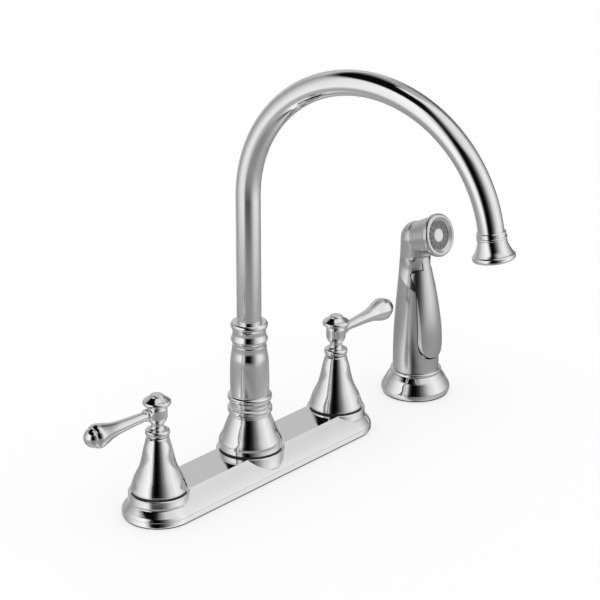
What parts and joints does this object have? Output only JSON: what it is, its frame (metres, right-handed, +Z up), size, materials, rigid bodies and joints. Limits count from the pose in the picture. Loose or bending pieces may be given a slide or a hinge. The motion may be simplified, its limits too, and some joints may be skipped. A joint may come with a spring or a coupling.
{
  "type": "kitchen faucet",
  "caption": "Widespread deck-mounted kitchen faucet with lever handles on flared bells, a swivelling gooseneck spout and a separate pull-up side spray.",
  "frame": {"origin": "on the sink deck, under the deck gasket, on the spout's axis", "axes": "+X along the deck plate towards the cold handle and the spray, -Y towards the person at the sink, +Z up"},
  "size_m": [0.4034, 0.2539, 0.3896],
  "materials": {
    "polished_chrome": "mirror-polished chrome plate",
    "plated_spray": "chrome-plated plastic, slightly softer than the metal parts",
    "spray_ring": "chrome-plated plastic ring",
    "spray_face": "grey moulded plastic",
    "spray_button": "light moulded plastic",
    "brass": "machined brass",
    "copper_tube": "drawn copper",
    "disc_ceramic": "ground alumina",
    "rubber": "moulded black rubber",
    "light_plastic": "moulded acetal",
    "nut_plastic": "black moulded nylon",
    "steel": "stainless steel"
  },
  "bodies": {
    "faucet": {"bell_gaskets": "rubber", "bonnet_nuts": "brass", "centre_body": "brass", "cold_bell": "polished_chrome", "cold_cartridge": "light_plastic", "cold_crossover_tube": "copper_tube", "cold_valve_body": "brass", "deck_gasket": "rubber", "deck_plate": "polished_chrome", "diverter_cage": "light_plastic", "fixed_discs": "disc_ceramic", "hot_bell": "polished_chrome", "hot_cartridge": "light_plastic", "hot_crossover_tube": "copper_tube", "hot_valve_body": "brass", "lock_rings": "steel", "mounting_nuts": "nut_plastic", "mounting_washers": "steel", "seat_seals": "rubber", "spout_bell": "polished_chrome", "spout_o_rings": "rubber", "spout_retaining_ring": "steel", "spout_swivel_washer": "light_plastic", "spray_bushing": "light_plastic", "spray_gasket": "rubber", "spray_nut": "nut_plastic", "spray_support": "polished_chrome", "spray_washer": "rubber"},
    "hot_handle": {"hot_moving_disc": "disc_ceramic", "hot_stem": "brass", "hot_stem_o_ring": "rubber", "hot_handle_hub": "polished_chrome", "hot_handle_cap": "polished_chrome", "hot_lever": "polished_chrome", "hot_set_screw": "steel"},
    "cold_handle": {"cold_moving_disc": "disc_ceramic", "cold_stem": "brass", "cold_stem_o_ring": "rubber", "cold_handle_hub": "polished_chrome", "cold_handle_cap": "polished_chrome", "cold_lever": "polished_chrome", "cold_set_screw": "steel"},
    "spout": {"spout_column": "polished_chrome", "spout_collar": "polished_chrome", "gooseneck": "polished_chrome", "aerator_shell": "polished_chrome", "aerator_insert": "light_plastic", "aerator_screen": "steel", "aerator_washer": "rubber"},
    "diverter": {"diverter_piston": "brass", "diverter_washer": "rubber"},
    "hose_coupling": {"spray_hose_coupling": "brass"},
    "spray": {"spray_body": "plated_spray", "spray_hinge_pin": "steel", "spray_face_ring": "spray_ring", "spray_face": "spray_face", "spray_face_button": "spray_button", "spray_plunger_spring": "steel"},
    "trigger": {"spray_trigger": "plated_spray"},
    "plunger": {"spray_plunger": "steel"}
  },
  "joints": [
    {"name": "hot_handle_turn", "type": "hinge", "parent": "faucet", "child": "hot_handle", "pos_m": [-0.1016, 0, 0.06], "axis": [0, 0, 1], "range_deg": [0, 90]},
    {"name": "cold_handle_turn", "type": "hinge", "parent": "faucet", "child": "cold_handle", "pos_m": [0.1016, 0, 0.06], "axis": [0, 0, 1], "range_deg": [-90, 0]},
    {"name": "spout_swivel", "type": "hinge", "parent": "faucet", "child": "spout", "pos_m": [0, 0, 0.08], "axis": [0, 0, 1], "range_deg": [-81.5, 68.5]},
    {"name": "diverter_slide", "type": "slide", "parent": "faucet", "child": "diverter", "axis": [0, 0, 1], "range_m": [0, 0.0022]},
    {"name": "spray_lift", "type": "slide", "parent": "faucet", "child": "hose_coupling", "axis": [0, 0, 1], "range_m": [0, 0.15]},
    {"name": "spray_turn", "type": "hinge", "parent": "hose_coupling", "child": "spray", "pos_m": [0.2032, 0, 0.02], "axis": [0, 0, 1], "continuous": true},
    {"name": "trigger_press", "type": "hinge", "parent": "spray", "child": "trigger", "pos_m": [0.2032, -0.0064, 0.1135], "axis": [1, 0, 0], "range_deg": [0, 5], "stiffness_Nm_per_rad": 1.2, "springref_deg": -6.88},
    {"name": "plunger_slide", "type": "slide", "parent": "spray", "child": "plunger", "axis": [0, 1, 0], "range_m": [0, 0.00175], "deforming": ["spray_plunger_spring"]}
  ],
  "couplings": [
    {"joint": "plunger_slide", "follows": "trigger_press", "m_per_rad": 0.0195}
  ]
}
